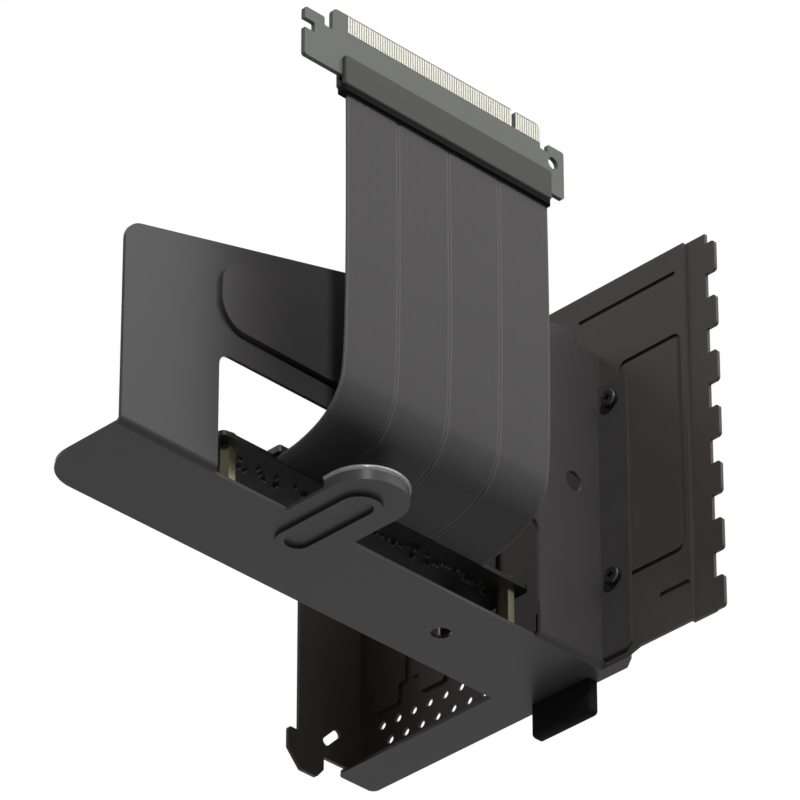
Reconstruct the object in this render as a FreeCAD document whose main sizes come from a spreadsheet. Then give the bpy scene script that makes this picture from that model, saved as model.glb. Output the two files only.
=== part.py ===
import FreeCAD, Part
import Sketcher
import math
import os

# The mount stands as it does in a case: +X runs towards the rear of the case, +Y towards the
# window side and +Z up. The model is drawn from a corner, which is the underside of the shelf
# where the window plate meets the front face of the rear plate. Every piece is then moved so
# that the origin is on the back face of the rear plate, in the plane of the window plate and
# level with the middle of the lowest prong.

SIZES = {
    # sheet metal
    "sheet": 1.2,
    "bend_outside": 2.2,
    "face_gap": 0.3,
    # window plate of the main bracket
    "plate_length": 202.4,
    "plate_front_rise": 70.0,
    "plate_rear_rise": 122.3,
    "plate_corner": 8.0,
    "window_rear": 28.5,
    "window_length": 135.5,
    "window_top": 41.4,
    "window_corner": 4.5,
    "rib_rear": 36.0,
    "rib_length": 128.6,
    "rib_bottom_front": 51.0,
    "rib_bottom_rear": 49.5,
    "rib_below_top": 7.0,
    "rib_depth": 1.6,
    "rib_round": 9.5,
    "tower_hole_back": 12.7,
    "tower_hole_rise": 62.0,
    "tower_hole_width": 7.0,
    "notch_back": 10.3,
    "notch_rise": 113.8,
    "notch_slit_width": 1.6,
    "notch_slit_deep": 7.5,
    # shelf and arm
    "shelf_width": 37.5,
    "shelf_corner": 14.0,
    "shelf_hole_back": 50.9,
    "shelf_hole_side": 20.5,
    "shelf_hole_width": 6.4,
    "arm_front": 11.6,
    "arm_rear": 4.6,
    "arm_gap": 0.3,
    "arm_tail": 10.0,
    "arm_corner": 2.5,
    # cable tongue
    "tongue_rear": 107.0,
    "tongue_width": 27.0,
    "tongue_reach": 30.5,
    "lip_height": 4.2,
    "ring_width": 14.0,
    "ring_band": 2.8,
    "ring_start": 18.0,
    "ring_end": 22.0,
    "ring_depth": 1.2,
    # tab on the rear plate
    "tab_width": 12.0,
    "tab_top": 101.5,
    "tab_bottom": 3.0,
    "tab_screw_side": 5.8,
    "tab_screw_low": 29.8,
    "tab_screw_high": 94.5,
    # rear plate
    "rear_height": 139.6,
    "rear_step_side": 24.2,
    "rear_low_edge": 2.3,
    "rear_low_side": 14.0,
    "prong_pitch": 20.32,
    "prong_first": 8.2,
    "prong_width": 11.2,
    "prong_length": 3.9,
    "prong_side": 45.0,
    "joggle_side": 36.8,
    "panel_near": 8.0,
    "panel_far": 34.6,
    "panel_bottom": 28.0,
    "panel_top": 107.6,
    "panel_band": 1.6,
    "panel_depth": 0.8,
    "panel_round": 3.2,
    "score_band": 1.6,
    "score_depth": 0.8,
    "score_drop": 9.6,
    "score_near": 9.0,
    "score_far": 33.0,
    "mark_height": 15.5,
    "mark_near": 23.0,
    "mark_far": 36.0,
    "mark_band": 3.0,
    # slot side of the rear plate
    "slot_pitch": 20.32,
    "slot_first": 33.8,
    "slot_opening": 13.5,
    "slot_bottom": 31.0,
    "slot_head": 7.0,
    "ledge_height": 114.0,
    "ledge_depth": 12.0,
    "vent_width": 2.8,
    "vent_pitch": 7.0,
    "vent_first": 38.0,
    "vent_low": 12.8,
    "vent_row_step": 6.4,
    # side flange
    "fold_margin": 5.0,
    "side_depth": 28.0,
    "ear_depth": 32.5,
    "ear_top": 10.0,
    "ear_shoulder": 2.5,
    "ear_bottom": -3.6,
    "ear_low_front": 27.0,
    "ear_low_rear": 20.0,
    "ear_root": 17.0,
    "side_bottom": 4.6,
    "flange_slot_back": 13.6,
    "flange_slot_rise": 13.1,
    "flange_slot_length": 9.4,
    "flange_slot_tall": 2.8,
    "case_hole_back": 16.0,
    "case_hole_low": 64.0,
    "case_hole_spacing": 40.0,
    "case_hole_width": 3.6,
    # slot covers
    "cover_width": 17.0,
    "cover_tongue": 11.2,
    "cover_bottom": 24.0,
    "cover_shoulder": 0.6,
    "cover_tab": 11.0,
    "cover_notch": 4.4,
    "cover_screw_back": 6.8,
    # screws
    "screw_shank": 3.0,
    "screw_head": 6.0,
    "screw_head_tall": 2.1,
    "screw_round": 0.7,
    "screw_recess": 2.6,
    "screw_recess_deep": 1.2,
    "screw_clearance": 0.2,
    "screw_end_gap": 0.1,
    "cover_screw_end": 2.2,
    "board_screw_end": 4.4,
    # rest pad
    "pad_start": 7.5,
    "pad_length": 24.5,
    "pad_front": 0.0,
    "pad_depth": 4.6,
    "pad_tall": 12.2,
    "pad_round": 1.8,
    # riser board at the card slot
    "post_tall": 13.0,
    "post_across": 4.6,
    "post_seat_deep": 0.7,
    "post_bore_deep": 6.6,
    "post_middle": 96.9,
    "post_spacing": 117.2,
    "post_near": 5.2,
    "post_far": 30.8,
    "board_thick": 1.6,
    "board_length": 129.0,
    "board_near": 0.6,
    "board_width": 34.8,
    "board_corner": 2.0,
    "socket_length": 89.0,
    "socket_width": 7.6,
    "socket_tall": 11.2,
    "socket_side": 27.6,
    "socket_groove": 2.8,
    "socket_groove_deep": 8.8,
    "socket_end_wall": 1.8,
    "socket_key_back": 12.6,
    "socket_key": 1.7,
    "contact_pitch": 1.0,
    "contact_width": 0.5,
    "contact_thick": 0.45,
    "contact_tall": 6.6,
    "relief_tall": 2.6,
    "relief_reach": 3.0,
    "relief_cover": 4.4,
    # ribbons
    "ribbon_width": 21.55,
    "ribbon_pitch": 21.75,
    "ribbon_thick": 1.2,
    "ribbon_middle": 96.7,
    # plug at the end of the ribbons
    "plug_side": 28.6,
    "plug_bottom": 137.4,
    "plug_ear_top": 155.0,
    "plug_front": 158.4,
    "plug_rear": 46.0,
    "edge_front": 146.7,
    "edge_rear": 56.5,
    "edge_top": 160.4,
    "edge_bevel": 0.5,
    "edge_corner": 2.2,
    "edge_relief": 3.4,
    "edge_relief_floor": 152.0,
    "edge_key_back": 12.0,
    "edge_key": 1.9,
    "edge_key_floor": 154.0,
    "ear_notch_tall": 3.6,
    "ear_notch_deep": 4.2,
    "ear_hole_rise": 149.0,
    "ear_hole_back": 50.8,
    "ear_hole_width": 4.2,
    "finger_pitch": 1.0,
    "finger_width": 0.68,
    "finger_thick": 0.12,
    "finger_tall": 6.0,
    "finger_setback": 0.5,
    "shell_drop": 3.9,
    "shell_rise": 11.0,
    "shell_thick": 1.5,
    "shell_front": 142.5,
    "shell_length": 89.8,
    "shell_round": 1.2,
    "seal_tall": 1.8,
    "seal_thick": 3.8,
    "seal_gap": 0.15,
}

SLOTS = 4
VENTS = 9
CONTACTS = 82
SHORT_CONTACTS = 11

# The route of a ribbon, side and height of each point: out of the slot board, round under the
# window plate and straight up to the plug.
ROUTE = [(0.6, 15.0), (-8.5, 15.0), (-24.5, 22.5), (-29.8, 40.0), (-28.6, 137.4)]

doc = FreeCAD.newDocument("card_mount")
sheet_object = doc.addObject("Spreadsheet::Sheet", "Sizes")
for row, (alias, number) in enumerate(SIZES.items(), start=1):
    sheet_object.set(f"A{row}", alias)
    sheet_object.set(f"B{row}", str(number))
    sheet_object.setAlias(f"B{row}", alias)
doc.recompute()


class Size:
    """A number with the sheet expression that gives it."""

    def __init__(self, value, text):
        self.value = value
        self.text = text

    def __add__(self, other):
        other = as_size(other)
        return Size(self.value + other.value, f"({self.text} + {other.text})")

    def __sub__(self, other):
        other = as_size(other)
        return Size(self.value - other.value, f"({self.text} - {other.text})")

    def __mul__(self, other):
        other = as_size(other)
        return Size(self.value * other.value, f"({self.text} * {other.text})")

    def __truediv__(self, other):
        other = as_size(other)
        return Size(self.value / other.value, f"({self.text} / {other.text})")

    def __neg__(self):
        return Size(-self.value, f"(0 - {self.text})")


def as_size(number):
    if isinstance(number, Size):
        return number
    return Size(float(number), str(number))


def s(alias):
    """The size that the sheet holds under this alias."""
    return Size(float(sheet_object.get(alias)), f"Sizes.{alias}")


SHEET = s("sheet")


def bind(thing, prop, size):
    thing.setExpression(prop, as_size(size).text)


def place(thing, x=0, y=0, z=0):
    """Moves a piece from the drawing corner to the origin, and by x, y and z."""
    bind(thing, "Placement.Base.x", as_size(x) - SHEET)
    bind(thing, "Placement.Base.y", as_size(y))
    bind(thing, "Placement.Base.z", as_size(z) - s("prong_first"))


def new_body(name):
    body = doc.addObject("PartDesign::Body", name)
    body.Label = name
    return body


def new_sketch(body, name, plane, offset=0):
    """A sketch on one of the body's own planes, moved along the plane's normal by offset."""
    sketch = body.newObject("Sketcher::SketchObject", name)
    role = {"XY": "XY_Plane", "XZ": "XZ_Plane", "YZ": "YZ_Plane"}[plane]
    for feature in body.Origin.OriginFeatures:
        if feature.Role == role:
            sketch.AttachmentSupport = [(feature, "")]
    sketch.MapMode = "FlatFace"
    bind(sketch, "AttachmentOffset.Base.z", offset)
    return sketch


def datum(sketch, constraint, size):
    """Adds a dimension to the sketch and ties it to the sheet."""
    index = sketch.addConstraint(constraint)
    bind(sketch, f"Constraints[{index}]", size)


def pin_point(sketch, geometry, point, x, y):
    datum(sketch, Sketcher.Constraint("DistanceX", -1, 1, geometry, point, x.value), x)
    datum(sketch, Sketcher.Constraint("DistanceY", -1, 1, geometry, point, y.value), y)


def vector(x, y, z=0.0):
    return FreeCAD.Vector(x, y, z)


def add_loop(sketch, corners):
    """A closed outline through corners, each (x, y) or (x, y, radius of its rounding)."""
    corners = [[as_size(number) for number in corner] for corner in corners]
    points = [vector(corner[0].value, corner[1].value) for corner in corners]
    count = len(corners)
    marks = []
    starts = []
    ends = []
    for i in range(count):
        mark = sketch.addGeometry(Part.Point(points[i]), True)
        pin_point(sketch, mark, 1, corners[i][0], corners[i][1])
        marks.append(mark)
        before = (points[i - 1] - points[i]).normalize()
        after = (points[(i + 1) % count] - points[i]).normalize()
        if len(corners[i]) < 3:
            ends.append(points[i])
            starts.append(points[i])
        else:
            half = before.getAngle(after) / 2
            run = corners[i][2].value / math.tan(half)
            ends.append(points[i] + before * run)
            starts.append(points[i] + after * run)
    lines = []
    for i in range(count):
        j = (i + 1) % count
        line = sketch.addGeometry(Part.LineSegment(starts[i], ends[j]), False)
        lines.append(line)
        if len(corners[i]) < 3:
            sketch.addConstraint(Sketcher.Constraint("Coincident", line, 1, marks[i], 1))
        else:
            sketch.addConstraint(Sketcher.Constraint("PointOnObject", marks[i], 1, line))
        if len(corners[j]) < 3:
            sketch.addConstraint(Sketcher.Constraint("Coincident", line, 2, marks[j], 1))
        else:
            sketch.addConstraint(Sketcher.Constraint("PointOnObject", marks[j], 1, line))
    for i in range(count):
        if len(corners[i]) < 3:
            continue
        add_rounding(sketch, lines[i - 1], lines[i], points[i], ends[i], starts[i], corners[i][2])


def add_rounding(sketch, line_in, line_out, corner, enter, leave, radius):
    """An arc between two lines of an outline, tangent to both."""
    middle = (enter + leave) / 2
    centre = corner + (middle - corner) * ((enter - corner).Length / (middle - corner).Length) ** 2
    turns_left = (corner - enter).cross(leave - corner).z > 0
    first, last = (enter, leave) if turns_left else (leave, enter)
    circle = Part.Circle(centre, vector(0, 0, 1), radius.value)
    angles = [math.atan2(point.y - centre.y, point.x - centre.x) for point in (first, last)]
    arc = sketch.addGeometry(Part.ArcOfCircle(circle, angles[0], angles[1]), False)
    enter_end, leave_end = (1, 2) if turns_left else (2, 1)
    sketch.addConstraint(Sketcher.Constraint("Tangent", line_in, 2, arc, enter_end))
    sketch.addConstraint(Sketcher.Constraint("Tangent", line_out, 1, arc, leave_end))
    datum(sketch, Sketcher.Constraint("Radius", arc, radius.value), radius)


def add_circle(sketch, x, y, width):
    x, y, width = as_size(x), as_size(y), as_size(width)
    circle = Part.Circle(vector(x.value, y.value), vector(0, 0, 1), width.value / 2)
    index = sketch.addGeometry(circle, False)
    pin_point(sketch, index, 3, x, y)
    datum(sketch, Sketcher.Constraint("Diameter", index, width.value), width)


def box_loop(low_x, high_x, low_y, high_y, radius=None):
    corners = [(low_x, low_y), (high_x, low_y), (high_x, high_y), (low_x, high_y)]
    if radius is None:
        return corners
    return [corner + (radius,) for corner in corners]


def slab(body, name, plane, low, high, loops=(), circles=(), cut=False):
    """Adds or cuts what the outlines sweep from low to high along the plane's axis."""
    low, high = as_size(low), as_size(high)
    offset = -high if plane == "XZ" else low
    sketch = new_sketch(body, f"{name}_sketch", plane, offset)
    for loop in loops:
        add_loop(sketch, loop)
    for circle in circles:
        add_circle(sketch, *circle)
    kind = "PartDesign::Pocket" if cut else "PartDesign::Pad"
    feature = body.newObject(kind, name)
    feature.Profile = sketch
    feature.Type = "Length"
    feature.Reversed = cut
    bind(feature, "Length", high - low)
    doc.recompute()
    return feature


def fillet(body, name, radius, wanted):
    """Rounds the edges of the body for which wanted(middle, ends) holds."""
    doc.recompute()
    shape = body.Tip.Shape
    names = []
    for number, edge in enumerate(shape.Edges, start=1):
        middle = edge.valueAt((edge.FirstParameter + edge.LastParameter) / 2)
        ends = [vertex.Point for vertex in edge.Vertexes]
        if wanted(middle, ends):
            names.append(f"Edge{number}")
    if not names:
        raise RuntimeError(f"no edge found for {name}")
    feature = body.newObject("PartDesign::Fillet", name)
    feature.Base = (feature.BaseFeature or body.Tip, names)
    bind(feature, "Radius", radius)
    doc.recompute()
    return feature


def near(a, b):
    return abs(a - as_size(b).value) < 0.02


def axis_of(body, role):
    for feature in body.Origin.OriginFeatures:
        if feature.Role == role:
            return feature
    raise RuntimeError(f"{body.Label} has no {role}")


def grid(body, name, features, steps):
    """Repeats features along one or two axes, each step (axis role, spacing, count)."""
    rows = []
    for number, (role, spacing, count) in enumerate(steps, start=1):
        row = body.newObject("PartDesign::LinearPattern", f"{name}_{number}")
        row.Originals = features if len(steps) == 1 else []
        row.Direction = (axis_of(body, role), [""])
        row.Occurrences = count
        bind(row, "Length", as_size(spacing) * (count - 1))
        rows.append(row)
    if len(steps) == 1:
        body.Tip = rows[0]
        doc.recompute()
        return rows[0]
    both = body.newObject("PartDesign::MultiTransform", name)
    both.Originals = features
    both.Transformations = rows
    body.Tip = both
    doc.recompute()
    return both


def spin(body, name, plane, corners):
    """Turns an outline once round the plane's vertical axis."""
    sketch = new_sketch(body, f"{name}_sketch", plane)
    add_loop(sketch, corners)
    feature = body.newObject("PartDesign::Revolution", name)
    feature.Profile = sketch
    feature.ReferenceAxis = (sketch, ["V_Axis"])
    feature.Angle = 360
    doc.recompute()
    return feature


# main bracket

def plate_top(x_back):
    """Height of the window plate's sloping top edge, x_back in front of the rear plate."""
    fall = (s("plate_rear_rise") - s("plate_front_rise")) / s("plate_length")
    return s("plate_rear_rise") - fall * x_back


def window_plate(body):
    length = s("plate_length")
    inside = s("bend_outside") - SHEET
    profile = [(0, 0, s("bend_outside")), (s("shelf_width"), 0), (s("shelf_width"), SHEET),
               (SHEET, SHEET, inside), (SHEET, s("plate_rear_rise")), (0, s("plate_rear_rise"))]
    slab(body, "folded_sheet", "YZ", -length, 0, [profile])
    above = s("plate_rear_rise") + s("plate_corner")
    slope = [(-length, s("plate_front_rise")), (0, s("plate_rear_rise")), (0, above), (-length, above)]
    slab(body, "sloping_top", "XZ", -SHEET, SHEET * 2, [slope], cut=True)
    near_x = -s("window_rear")
    far_x = near_x - s("window_length")
    corner = s("window_corner")
    window = [(far_x, 0), (near_x, 0), (near_x, s("window_top"), corner), (far_x, s("window_top"), corner)]
    slab(body, "window", "XZ", -SHEET, s("bend_outside"), [window], cut=True)
    back = -s("notch_back")
    notch = [(back, s("notch_rise")), (SHEET, s("notch_rise")), (SHEET, above), (back, above)]
    slit = box_loop(back - s("notch_slit_width") / 2, back + s("notch_slit_width") / 2,
                    s("notch_rise") - s("notch_slit_deep"), s("notch_rise") + SHEET / 2)
    slab(body, "rear_notch", "XZ", -SHEET, SHEET * 2, [notch], cut=True)
    slab(body, "rear_slit", "XZ", -SHEET, SHEET * 2, [slit], cut=True)


def plate_rib(body):
    """The long boss pressed out of the bar over the window."""
    front = -(s("rib_rear") + s("rib_length"))
    rear = -s("rib_rear")

    def outline(inset, radius):
        drop = s("rib_below_top") + inset
        left = front + inset
        right = rear - inset
        return [(left, s("rib_bottom_front") + inset, radius), (right, s("rib_bottom_rear") + inset, radius),
                (right, plate_top(-right) - drop, radius), (left, plate_top(-left) - drop, radius)]

    round_out = s("rib_round")
    slab(body, "rib", "XZ", -s("rib_depth"), 0, [outline(as_size(0), round_out)])
    slab(body, "rib_back", "XZ", SHEET - s("rib_depth"), SHEET, [outline(SHEET, round_out - SHEET)], cut=True)


def shelf_details(body):
    half = s("shelf_width") / 2
    corner = s("arm_corner")
    reach = side_fold() - s("arm_gap")
    arm = [(-s("arm_front"), half), (0, half), (0, -s("arm_tail")), (SHEET, -s("arm_tail")),
           (s("arm_rear"), -s("arm_tail") / 2, corner), (s("arm_rear"), reach, corner),
           (-s("arm_front"), reach, corner)]
    slab(body, "arm", "XY", 0, SHEET, [arm])
    near_x = -s("tongue_rear")
    far_x = near_x - s("tongue_width")
    end = -s("tongue_reach")
    turn = s("tongue_width") * 0.49
    slab(body, "tongue", "XY", 0, SHEET, [[(far_x, end, turn), (near_x, end, turn), (near_x, half), (far_x, half)]])
    start = end + s("tongue_width") * 0.62
    inner = turn - SHEET
    lip = [(far_x, end, turn), (near_x, end, turn), (near_x, start), (near_x - SHEET, start),
           (near_x - SHEET, end + SHEET, inner), (far_x + SHEET, end + SHEET, inner), (far_x + SHEET, start),
           (far_x, start)]
    slab(body, "lip", "XY", 0, s("lip_height"), [lip])
    middle = near_x - s("tongue_width") / 2

    def ring(inset):
        side = s("ring_width") / 2 - inset
        return box_loop(middle - side, middle + side, -s("ring_end") + inset, s("ring_start") - inset, side * 0.98)

    band = s("ring_band")
    slab(body, "ring", "XY", -s("ring_depth"), 0, [ring(as_size(0)), ring(band)])
    quarter = band / 4
    slab(body, "ring_back", "XY", SHEET - s("ring_depth"), SHEET, [ring(quarter), ring(band - quarter)], cut=True)


def rear_tab(body):
    corner = s("arm_corner")
    tab = [(-s("tab_width"), s("tab_bottom"), corner), (SHEET, s("tab_bottom")), (SHEET, s("tab_top")),
           (-s("tab_width"), s("tab_top"), corner)]
    slab(body, "tab", "YZ", -SHEET, 0, [tab])
    hole = s("screw_shank") + s("screw_clearance") * 2
    holes = [(-s("tab_screw_side"), s(rise), hole) for rise in ("tab_screw_low", "tab_screw_high")]
    slab(body, "tab_holes", "YZ", -SHEET * 2, SHEET, circles=holes, cut=True)


def bracket_holes(body):
    tower = (-s("tower_hole_back"), s("tower_hole_rise"), s("tower_hole_width"))
    slab(body, "tower_hole", "XZ", -SHEET, SHEET * 2, circles=[tower], cut=True)
    hole = (-s("shelf_hole_back"), s("shelf_hole_side"), s("shelf_hole_width"))
    slab(body, "shelf_hole", "XY", -SHEET, SHEET * 2, circles=[hole], cut=True)
    seat = s("screw_shank") + s("screw_clearance")
    seats = []
    for end in (-1, 1):
        x = -s("post_middle") + s("post_spacing") * (0.5 * end)
        seats.append((x, s("post_near"), seat))
        seats.append((x, s("post_far"), seat))
    slab(body, "post_seats", "XY", SHEET - s("post_seat_deep"), SHEET * 2, circles=seats, cut=True)


def side_fold():
    """Where the rear plate folds forward, beyond the last slot."""
    return s("slot_first") + s("slot_pitch") * (SLOTS - 1) + s("slot_opening") / 2 + s("fold_margin")


def make_main_bracket():
    body = new_body("main_bracket")
    window_plate(body)
    length = s("plate_length")
    fillet(body, "plate_corner", s("plate_corner"),
           lambda mid, ends: near(mid.x, -length) and near(mid.z, s("plate_front_rise")))
    fillet(body, "shelf_corner", s("shelf_corner"),
           lambda mid, ends: near(mid.x, -length) and near(mid.y, s("shelf_width")) and near(mid.z, SHEET / 2))
    plate_rib(body)
    shelf_details(body)
    rear_tab(body)
    bracket_holes(body)
    place(body)
    return body


# rear plate

def make_rear_plate():
    body = new_body("rear_plate")
    bend = s("bend_outside")
    top = s("ledge_height")
    fold = side_fold()
    outline = [(-s("joggle_side"), s("rear_low_edge")), (-s("rear_low_side"), s("rear_low_edge")),
               (-s("arm_tail"), SHEET), (fold, SHEET), (fold, top), (s("rear_step_side"), top),
               (s("rear_step_side"), s("rear_height")), (-s("joggle_side"), s("rear_height"))]
    slab(body, "rear_sheet", "YZ", 0, SHEET, [outline])
    strip = box_loop(-s("prong_side"), SHEET - s("joggle_side"), s("rear_low_edge"), s("rear_height"))
    slab(body, "joggled_strip", "YZ", SHEET, SHEET * 2, [strip])
    low = s("prong_first") - s("prong_width") / 2
    tip = -s("prong_side") - s("prong_length")
    prong = [(tip, low, SHEET), (-s("prong_side"), low), (-s("prong_side"), low + s("prong_width")),
             (tip, low + s("prong_width"), SHEET)]
    first = slab(body, "prong", "YZ", SHEET, SHEET * 2, [prong])
    reach = value("rear_height") - value("prong_first") - value("prong_width") / 2
    prongs = int(reach / value("prong_pitch")) + 1
    grid(body, "prongs", [first], [("Z_Axis", s("prong_pitch"), prongs)])
    rear_panel(body)
    slot_side(body)
    side_flange(body)
    fillet(body, "side_bend", bend,
           lambda mid, ends: near(mid.x, SHEET) and near(mid.y, fold + SHEET) and mid.z > SHEET.value)
    place(body)
    return body


def rear_panel(body):
    def outline(inset, radius):
        return box_loop(-s("panel_far") + inset, -s("panel_near") - inset, s("panel_bottom") + inset,
                        s("panel_top") - inset, radius)

    band = s("panel_band")
    groove = [outline(as_size(0), s("panel_round")), outline(band, s("panel_round") - band)]
    slab(body, "panel_groove", "YZ", 0, s("panel_depth"), groove, cut=True)
    half = s("score_band") / 2
    score = s("rear_height") - s("score_drop")
    line = box_loop(-s("score_far"), s("score_near"), score - half, score + half, half * 0.9)
    side = s("mark_band") / 2
    mark = box_loop(-s("mark_far"), -s("mark_near"), s("mark_height") - side, s("mark_height") + side, side * 0.9)
    slab(body, "pressed_lines", "YZ", 0, s("score_depth"), [line, mark], cut=True)
    hole = s("screw_shank") + s("screw_clearance") * 2
    holes = [(-s("tab_screw_side"), s(rise), hole) for rise in ("tab_screw_low", "tab_screw_high")]
    slab(body, "tab_screw_holes", "YZ", -SHEET, SHEET * 2, circles=holes, cut=True)


def slot_side(body):
    half = s("slot_opening") / 2
    slot_top = s("ledge_height") - s("slot_head")
    opening = box_loop(s("slot_first") - half, s("slot_first") + half, s("slot_bottom"), slot_top, SHEET)
    first = slab(body, "slot", "YZ", -SHEET, SHEET * 2, [opening], cut=True)
    grid(body, "slots", [first], [("Y_Axis", s("slot_pitch"), SLOTS)])
    vents = [(s("vent_first"), s("vent_low"), s("vent_width")),
             (s("vent_first") + s("vent_pitch") / 2, s("vent_low") + s("vent_row_step"), s("vent_width"))]
    first = slab(body, "vent_pair", "YZ", -SHEET, SHEET * 2, circles=vents, cut=True)
    grid(body, "vents", [first], [("Y_Axis", s("vent_pitch"), VENTS)])
    ledge = box_loop(0, s("ledge_depth"), s("rear_step_side"), side_fold())
    slab(body, "ledge", "XY", s("ledge_height") - SHEET, s("ledge_height"), [ledge])
    screw = s("screw_shank") + s("screw_clearance") * 2
    hole = (s("cover_screw_back"), s("slot_first"), screw)
    first = slab(body, "ledge_hole", "XY", s("ledge_height") - SHEET * 2, s("ledge_height") + SHEET,
                 circles=[hole], cut=True)
    grid(body, "ledge_holes", [first], [("Y_Axis", s("slot_pitch"), SLOTS)])


def side_flange(body):
    corner = s("arm_corner")
    front = -s("side_depth")
    outline = [(SHEET, s("side_bottom")), (SHEET, s("ledge_height")), (front, s("ledge_height"), corner),
               (front, s("ear_top")), (-s("ear_depth"), s("ear_top"), SHEET), (-s("ear_depth"), s("ear_shoulder"), SHEET),
               (-s("ear_low_front"), s("ear_bottom"), SHEET), (-s("ear_low_rear"), s("ear_bottom"), SHEET),
               (-s("ear_root"), as_size(0), SHEET), (-s("ear_root"), s("side_bottom"))]
    fold = side_fold()
    slab(body, "side_flange", "XZ", fold, fold + SHEET, [outline])
    slant = math.sqrt(0.5)
    along = s("flange_slot_length") / 2 * slant
    across = s("flange_slot_tall") / 2 * slant
    middle = (-s("flange_slot_back"), s("flange_slot_rise"))
    slot = []
    for end, side in ((-1, -1), (1, -1), (1, 1), (-1, 1)):
        slot.append((middle[0] + along * end - across * side, middle[1] + along * end + across * side,
                     s("flange_slot_tall") * 0.45))
    holes = []
    for turn in (0, 1):
        rise = s("case_hole_low") + s("case_hole_spacing") * turn
        holes.append((-s("case_hole_back"), rise, s("case_hole_width")))
    slab(body, "flange_holes", "XZ", fold - SHEET, fold + SHEET * 2, [slot], holes, cut=True)


# slot covers

def make_cover(number):
    body = new_body(f"slot_cover_{number + 1}")
    half = s("cover_width") / 2
    foot = s("cover_tongue") / 2
    top = s("ledge_height") + SHEET
    shoulder = s("slot_bottom") - s("cover_shoulder")
    wall = [(-foot, s("cover_bottom"), SHEET), (foot, s("cover_bottom"), SHEET), (foot, shoulder),
            (half, s("slot_bottom")), (half, top), (-half, top), (-half, s("slot_bottom")), (-foot, shoulder)]
    slab(body, f"cover_wall_{number}", "YZ", -SHEET, 0, [wall])
    tab = [(-SHEET, -half), (s("cover_tab"), -half, SHEET), (s("cover_tab"), half, SHEET), (-SHEET, half)]
    slab(body, f"cover_tab_{number}", "XY", s("ledge_height"), top, [tab])
    hole = (s("cover_screw_back"), as_size(0), s("cover_notch"))
    slab(body, f"cover_hole_{number}", "XY", s("ledge_height") - SHEET, top + SHEET, circles=[hole], cut=True)
    fillet(body, f"cover_bend_{number}", SHEET * 0.8,
           lambda mid, ends: near(mid.x, -SHEET) and near(mid.z, top) and near(mid.y, 0))
    place(body, 0, s("slot_first") + s("slot_pitch") * number, 0)
    return body


# fasteners

def screw_features(body, name, shank):
    """A pan head screw along Z, its head standing on Z = 0 and its shank below."""
    head = s("screw_head") / 2
    thick = s("screw_shank") / 2
    profile = [(0, -shank), (thick, -shank), (thick, 0), (head, 0), (head, s("screw_head_tall"), s("screw_round")),
               (0, s("screw_head_tall"))]
    turned = spin(body, f"{name}_turned", "XZ", profile)
    half = s("screw_recess") / 2
    arm = half * 0.3
    cross = [(-half, -arm), (-arm, -arm), (-arm, -half), (arm, -half), (arm, -arm), (half, -arm), (half, arm),
             (arm, arm), (arm, half), (-arm, half), (-arm, arm), (-half, arm)]
    top = s("screw_head_tall")
    recess = slab(body, f"{name}_recess", "XY", top - s("screw_recess_deep"), top + SHEET, [cross], cut=True)
    return [turned, recess]


def hexagon(across):
    reach = across / 2
    point = reach * (2 / math.sqrt(3))
    side = point * 0.5
    return [(-point, as_size(0)), (-side, -reach), (side, -reach), (point, as_size(0)), (side, reach), (-side, reach)]


def make_cover_screws():
    body = new_body("slot_cover_screws")
    made = screw_features(body, "cover_screw", SHEET * 2 + s("cover_screw_end"))
    grid(body, "cover_screw_row", made, [("Y_Axis", s("slot_pitch"), SLOTS)])
    place(body, s("cover_screw_back"), s("slot_first"), s("ledge_height") + SHEET)
    return body


def make_tab_screws():
    body = new_body("tab_screws")
    made = screw_features(body, "tab_screw", SHEET * 2 - s("screw_end_gap"))
    grid(body, "tab_screw_row", made, [("X_Axis", s("tab_screw_high") - s("tab_screw_low"), 2)])
    body.Placement = FreeCAD.Placement(vector(0, 0, 0), FreeCAD.Rotation(vector(0, 1, 0), -90))
    place(body, -SHEET, -s("tab_screw_side"), s("tab_screw_low"))
    return body


def post_grid(body, name, made):
    """Repeats a fastener at the four corners of the slot board."""
    return grid(body, name, made, [("X_Axis", s("post_spacing"), 2), ("Y_Axis", s("post_far") - s("post_near"), 2)])


def place_at_post(body):
    place(body, -s("post_middle") - s("post_spacing") / 2, s("post_near"), 0)


def board_under():
    return SHEET + s("post_tall")


def board_over():
    return board_under() + s("board_thick")


def make_posts():
    body = new_body("board_posts")
    post = slab(body, "post", "XY", SHEET, board_under(), [hexagon(s("post_across"))])
    stud = slab(body, "post_stud", "XY", SHEET - s("post_seat_deep"), SHEET, circles=[(0, 0, s("screw_shank"))])
    bore = slab(body, "post_bore", "XY", board_under() - s("post_bore_deep"), board_under() + SHEET,
                circles=[(0, 0, s("screw_shank") + s("screw_clearance"))], cut=True)
    post_grid(body, "post_grid", [post, stud, bore])
    place_at_post(body)
    return body


def make_board_screws():
    body = new_body("board_screws")
    made = screw_features(body, "board_screw", s("board_thick") + s("board_screw_end"))
    post_grid(body, "board_screw_grid", made)
    place(body, -s("post_middle") - s("post_spacing") / 2, s("post_near"), board_over())
    return body


# rest pad

def make_rest_pad():
    body = new_body("rest_pad")
    front = s("pad_front")
    side = s("pad_start")
    loop = box_loop(front, front + s("pad_depth"), side, side + s("pad_length"), s("pad_round") * 0.5)
    slab(body, "pad_block", "XY", -s("pad_tall"), 0, [loop])
    fillet(body, "pad_round", s("pad_round"), lambda mid, ends: near(mid.z, -s("pad_tall")))
    place(body)
    return body


# riser parts at the card slot

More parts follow.
